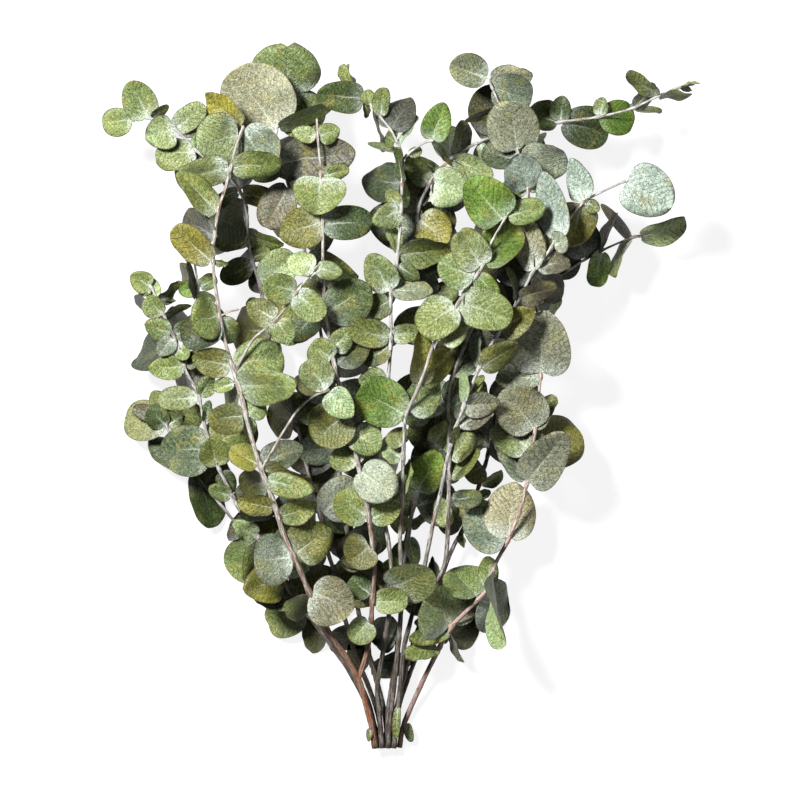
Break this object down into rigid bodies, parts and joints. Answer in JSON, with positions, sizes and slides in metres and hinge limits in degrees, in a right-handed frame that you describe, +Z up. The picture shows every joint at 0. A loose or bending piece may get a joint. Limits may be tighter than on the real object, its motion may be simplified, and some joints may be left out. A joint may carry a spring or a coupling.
{
  "type": "eucalyptus bunch",
  "caption": "Bunch of preserved eucalyptus lying flat: thin stems gathered at their cut ends, with twigs and round grey-green leaves in opposite pairs.",
  "frame": {"origin": "middle of the bunch's bounding box, on the surface it lies on", "axes": "+Y from the cut ends towards the tips, +Z up from the surface, +X to the right seen from above"},
  "size_m": [0.508, 0.5991, 0.1287],
  "materials": {
    "foliage": "matte"
  },
  "bodies": {
    "root": {"centre_right": "foliage", "forked_branch": "foliage", "right_centre": "foliage", "top_right": "foliage", "crown": "foliage", "centre": "foliage", "right_column": "foliage", "left_outer": "foliage", "spray_right": "foliage", "left_back": "foliage", "left_low": "foliage", "far_right": "foliage"}
  },
  "joints": []
}
